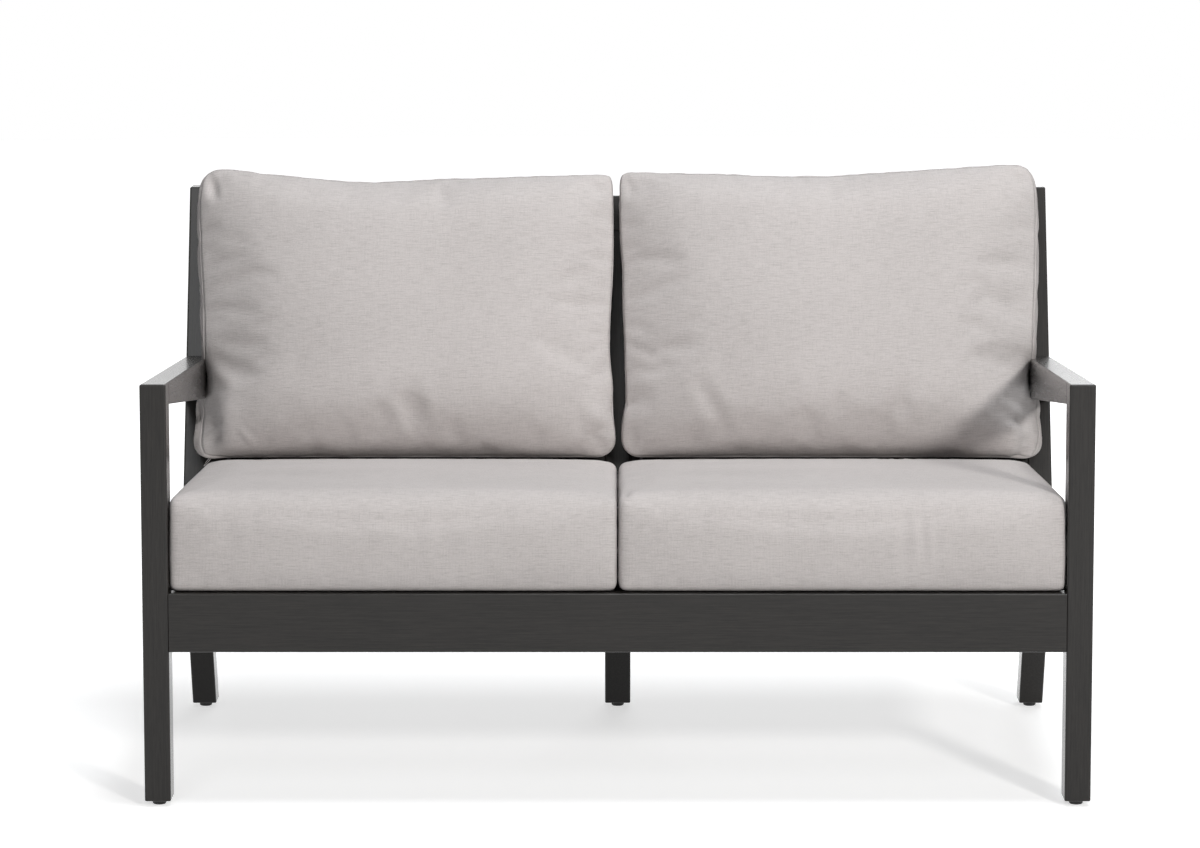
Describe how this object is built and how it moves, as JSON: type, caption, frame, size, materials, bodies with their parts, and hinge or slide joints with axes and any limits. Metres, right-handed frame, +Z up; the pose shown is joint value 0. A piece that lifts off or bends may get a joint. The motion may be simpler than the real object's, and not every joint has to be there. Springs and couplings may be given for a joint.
{
  "type": "patio loveseat",
  "caption": "Patio loveseat: a welded metal tube frame with sloping arms, a raked slatted back and splayed rear legs, carrying loose zipped seat and back cushions.",
  "frame": {"origin": "on the floor, under the middle of the frame's width and depth", "axes": "+X to the right as seen from the front, along the seat; +Y towards the back; +Z up; the front rail faces -Y"},
  "size_m": [1.372, 0.851, 0.8729],
  "materials": {
    "frame_coat": "dark charcoal coat, hand-brushed grain, semi-gloss",
    "cover_fabric": "matt woven outdoor fabric, light warm grey with fine level slubs",
    "foam": "matt open foam",
    "zip_track": "woven tape with satin plastic teeth",
    "zip_metal": "satin light grey metal",
    "glide_plastic": "matt black moulded plastic",
    "stud_steel": "zinc-plated steel"
  },
  "bodies": {
    "frame": {"front_rail": "frame_coat", "center_bearer": "frame_coat", "rear_leg_center": "frame_coat", "back_post_center": "frame_coat", "back_top_rail": "frame_coat", "foot_plates": "frame_coat", "front_leg_left": "frame_coat", "arm_left": "frame_coat", "rear_leg_left": "frame_coat", "back_post_left": "frame_coat", "side_rail_left": "frame_coat", "rear_rail_left": "frame_coat", "back_lower_rail_left": "frame_coat", "seat_slats_left": "frame_coat", "back_slats_left": "frame_coat", "front_leg_right": "frame_coat", "arm_right": "frame_coat", "rear_leg_right": "frame_coat", "back_post_right": "frame_coat", "side_rail_right": "frame_coat", "rear_rail_right": "frame_coat", "back_lower_rail_right": "frame_coat", "seat_slats_right": "frame_coat", "back_slats_right": "frame_coat"},
    "seat_cushion_left": {"seat_cushion_left_cover": "cover_fabric", "seat_cushion_left_filling": "foam", "seat_cushion_left_zip": "zip_track"},
    "seat_cushion_left_slider": {"seat_cushion_left_slider": "zip_metal"},
    "seat_cushion_left_pull": {"seat_cushion_left_pull": "zip_metal"},
    "seat_cushion_right": {"seat_cushion_right_cover": "cover_fabric", "seat_cushion_right_filling": "foam", "seat_cushion_right_zip": "zip_track"},
    "seat_cushion_right_slider": {"seat_cushion_right_slider": "zip_metal"},
    "seat_cushion_right_pull": {"seat_cushion_right_pull": "zip_metal"},
    "back_cushion_left": {"back_cushion_left_cover": "cover_fabric", "back_cushion_left_filling": "foam", "back_cushion_left_zip": "zip_track"},
    "back_cushion_left_slider": {"back_cushion_left_slider": "zip_metal"},
    "back_cushion_left_pull": {"back_cushion_left_pull": "zip_metal"},
    "back_cushion_right": {"back_cushion_right_cover": "cover_fabric", "back_cushion_right_filling": "foam", "back_cushion_right_zip": "zip_track"},
    "back_cushion_right_slider": {"back_cushion_right_slider": "zip_metal"},
    "back_cushion_right_pull": {"back_cushion_right_pull": "zip_metal"},
    "glide_front_left": {"glide_pad_front_left": "glide_plastic", "glide_stud_front_left": "stud_steel"},
    "glide_rear_left": {"glide_pad_rear_left": "glide_plastic", "glide_stud_rear_left": "stud_steel"},
    "glide_front_right": {"glide_pad_front_right": "glide_plastic", "glide_stud_front_right": "stud_steel"},
    "glide_rear_right": {"glide_pad_rear_right": "glide_plastic", "glide_stud_rear_right": "stud_steel"},
    "glide_rear_center": {"glide_pad_rear_center": "glide_plastic", "glide_stud_rear_center": "stud_steel"}
  },
  "joints": [
    {"name": "seat_cushion_left_lift", "type": "slide", "parent": "frame", "child": "seat_cushion_left", "axis": [0, -0.9986, 0.0523], "range_m": [0, 0.62]},
    {"name": "seat_cushion_left_zip_slide", "type": "slide", "parent": "seat_cushion_left", "child": "seat_cushion_left_slider", "axis": [1, 0, 0], "range_m": [0, 0.5432]},
    {"name": "seat_cushion_left_pull_turn", "type": "hinge", "parent": "seat_cushion_left_slider", "child": "seat_cushion_left_pull", "pos_m": [-0.5959, 0.17658, 0.32265], "axis": [0, 0.1038, 0.9946], "range_deg": [0, 150]},
    {"name": "seat_cushion_right_lift", "type": "slide", "parent": "frame", "child": "seat_cushion_right", "axis": [0, -0.9986, 0.0523], "range_m": [0, 0.62]},
    {"name": "seat_cushion_right_zip_slide", "type": "slide", "parent": "seat_cushion_right", "child": "seat_cushion_right_slider", "axis": [1, 0, 0], "range_m": [0, 0.5432]},
    {"name": "seat_cushion_right_pull_turn", "type": "hinge", "parent": "seat_cushion_right_slider", "child": "seat_cushion_right_pull", "pos_m": [0.0527, 0.17658, 0.32265], "axis": [0, 0.1038, 0.9946], "range_deg": [0, 150]},
    {"name": "back_cushion_left_lift", "type": "slide", "parent": "frame", "child": "back_cushion_left", "axis": [0, 0.3502, 0.9367], "range_m": [0, 0.5]},
    {"name": "back_cushion_left_zip_slide", "type": "slide", "parent": "back_cushion_left", "child": "back_cushion_left_slider", "axis": [1, 0, 0], "range_m": [0, 0.5755]},
    {"name": "back_cushion_left_pull_turn", "type": "hinge", "parent": "back_cushion_left_slider", "child": "back_cushion_left_pull", "pos_m": [-0.6125, 0.19382, 0.42397], "axis": [0, -1, -0.0071], "range_deg": [-80, 80]},
    {"name": "back_cushion_right_lift", "type": "slide", "parent": "frame", "child": "back_cushion_right", "axis": [0, 0.3502, 0.9367], "range_m": [0, 0.5]},
    {"name": "back_cushion_right_zip_slide", "type": "slide", "parent": "back_cushion_right", "child": "back_cushion_right_slider", "axis": [1, 0, 0], "range_m": [0, 0.5755]},
    {"name": "back_cushion_right_pull_turn", "type": "hinge", "parent": "back_cushion_right_slider", "child": "back_cushion_right_pull", "pos_m": [0.037, 0.19382, 0.42397], "axis": [0, -1, -0.0071], "range_deg": [-80, 80]},
    {"name": "glide_front_left_turn", "type": "hinge", "parent": "frame", "child": "glide_front_left", "pos_m": [-0.667, -0.4005, 0], "axis": [0, 0, 1], "continuous": true},
    {"name": "glide_rear_left_turn", "type": "hinge", "parent": "frame", "child": "glide_rear_left", "pos_m": [-0.667, 0.34481, 0], "axis": [0, 0, 1], "continuous": true},
    {"name": "glide_front_right_turn", "type": "hinge", "parent": "frame", "child": "glide_front_right", "pos_m": [0.667, -0.4005, 0], "axis": [0, 0, 1], "continuous": true},
    {"name": "glide_rear_right_turn", "type": "hinge", "parent": "frame", "child": "glide_rear_right", "pos_m": [0.667, 0.34481, 0], "axis": [0, 0, 1], "continuous": true},
    {"name": "glide_rear_center_turn", "type": "hinge", "parent": "frame", "child": "glide_rear_center", "pos_m": [0, 0.34481, 0], "axis": [0, 0, 1], "continuous": true}
  ]
}
